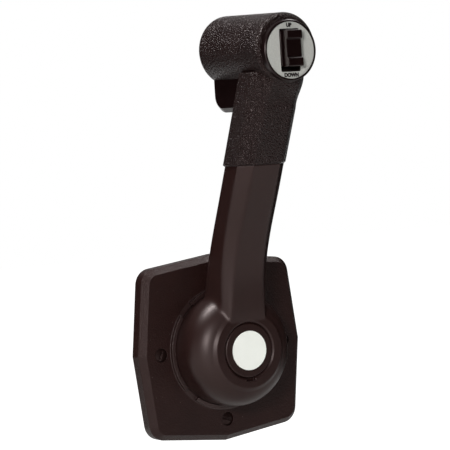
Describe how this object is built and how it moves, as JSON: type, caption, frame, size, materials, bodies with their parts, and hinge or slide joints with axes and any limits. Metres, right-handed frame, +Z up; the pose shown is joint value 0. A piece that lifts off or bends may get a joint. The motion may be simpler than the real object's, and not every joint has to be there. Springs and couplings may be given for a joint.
{
  "type": "boat throttle control lever",
  "caption": "Side-mount boat engine control: lever with a textured grip, trim rocker, lock bar and hub button on a bevelled plate, gear case behind.",
  "frame": {"origin": "on the lever's pivot axis, at the mounting plate's back face", "axes": "+X aft, +Y into the hull panel, +Z up"},
  "size_m": [0.138, 0.1853, 0.3054],
  "materials": {
    "moulded_black": "fine grained moulded black",
    "seal_rubber": "matte black rubber",
    "screw_steel": "stainless steel",
    "bearing_polymer": "off-white bearing plastic",
    "plain_steel": "turned steel",
    "gear_steel": "machined steel",
    "spring_steel": "drawn spring steel",
    "arm_paint": "satin black paint on cast metal",
    "grip_rubber": "pebbled black grip rubber",
    "ring_gloss": "smooth black plastic",
    "switch_silver": "satin silver",
    "switch_black": "black plastic",
    "rocker_black": "smooth black plastic",
    "lock_bar_black": "smooth warm black plastic",
    "button_black": "satin black plastic",
    "badge_white": "plain pale disc",
    "cast_case": "cast aluminium",
    "link_steel": "zinc plated steel"
  },
  "bodies": {
    "plate": {"mounting_plate": "moulded_black", "panel_seal": "seal_rubber", "panel_screws": "screw_steel", "front_bush": "bearing_polymer", "friction_washer": "bearing_polymer", "neutral_lock_ring": "plain_steel", "lock_ring_screws": "screw_steel", "rear_case": "cast_case", "rear_cover": "cast_case", "case_screws": "screw_steel", "rear_bush": "bearing_polymer", "shift_bush": "bearing_polymer", "cable_bracket": "link_steel", "wire_grommet": "seal_rubber", "detent_spring": "spring_steel"},
    "lever": {"lever_arm": "arm_paint", "grip_shell": "grip_rubber", "grip_screws": "screw_steel", "grip_end_ring": "ring_gloss", "switch_plate": "switch_silver", "switch_body": "switch_black", "rocker_pin": "plain_steel", "rod_guides": "bearing_polymer", "lock_spring": "spring_steel", "main_shaft": "plain_steel", "shaft_screws": "screw_steel", "button_spring": "spring_steel", "detent_cam": "gear_steel", "drive_gear": "gear_steel", "throttle_crank": "link_steel", "throttle_pin": "link_steel", "crank_nut": "link_steel"},
    "rocker": {"trim_rocker": "rocker_black"},
    "lock": {"lock_bar": "lock_bar_black", "lock_rod": "plain_steel"},
    "button": {"throttle_only_button": "button_black", "hub_badge": "badge_white", "push_rod": "plain_steel", "clutch_pin": "plain_steel"},
    "shift": {"shift_sector": "gear_steel", "shift_shaft": "plain_steel", "shift_arm": "link_steel", "shift_pin": "link_steel", "shift_clip": "spring_steel"}
  },
  "joints": [
    {"name": "lever_turn", "type": "hinge", "parent": "plate", "child": "lever", "pos_m": [0, 0, 0], "axis": [0, 1, 0], "range_deg": [-80, 65], "deforming": ["detent_spring"]},
    {"name": "shift_turn", "type": "hinge", "parent": "plate", "child": "shift", "pos_m": [0, 0, -0.027], "axis": [0, 1, 0], "range_deg": [-33, 41]},
    {"name": "lock_lift", "type": "slide", "parent": "lever", "child": "lock", "axis": [0, -0.356, 0.9345], "range_m": [0, 0.0065], "stiffness_N_per_m": 400, "springref_m": -0.01, "deforming": ["lock_spring"]},
    {"name": "rocker_tilt", "type": "hinge", "parent": "lever", "child": "rocker", "pos_m": [0, -0.1166, 0.2103], "axis": [1, 0, 0], "range_deg": [-7, 7], "stiffness_Nm_per_rad": 0.2},
    {"name": "button_press", "type": "slide", "parent": "lever", "child": "button", "axis": [0, 1, 0], "range_m": [0, 0.004], "stiffness_N_per_m": 1500, "springref_m": -0.003, "deforming": ["button_spring"]}
  ],
  "couplings": [
    {"joint": "shift_turn", "follows": "lever_turn", "ratio": -0.5}
  ]
}
